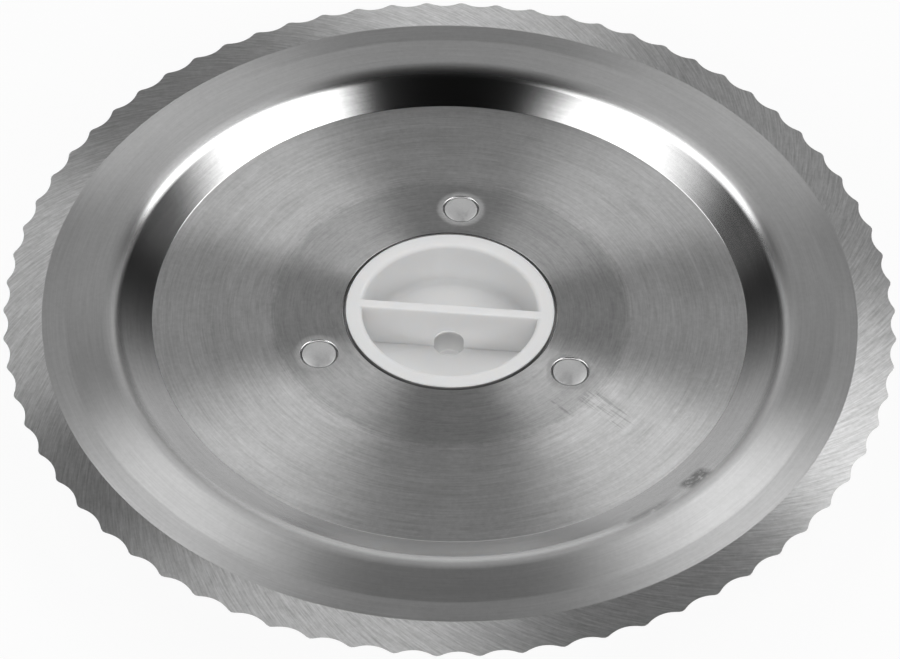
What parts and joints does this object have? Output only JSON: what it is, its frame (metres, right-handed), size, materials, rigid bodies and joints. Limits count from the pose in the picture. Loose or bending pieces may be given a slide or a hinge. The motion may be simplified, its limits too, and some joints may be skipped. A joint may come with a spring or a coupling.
{
  "type": "food slicer blade",
  "caption": "Dished round steel slicer blade with a scalloped edge, riveted to a white plastic drive hub with a finger cup, grip bar and worm wheel.",
  "frame": {"origin": "on the spindle axis, in the plane of the hub's back face, on which the blade lies", "axes": "+Z along the spindle axis towards the front, the hollow side with the finger cup; +X along the grip bar; +Y towards the first rivet"},
  "size_m": [0.17, 0.17, 0.019],
  "materials": {
    "blade_steel": "finely turned, with a coarser ground edge",
    "hub_plastic": "moulded, slightly see-through white",
    "rivet_steel": "satin"
  },
  "bodies": {
    "root": {"blade_disc": "blade_steel", "drive_hub": "hub_plastic", "rivet_1": "rivet_steel", "rivet_2": "rivet_steel", "rivet_3": "rivet_steel"}
  },
  "joints": []
}
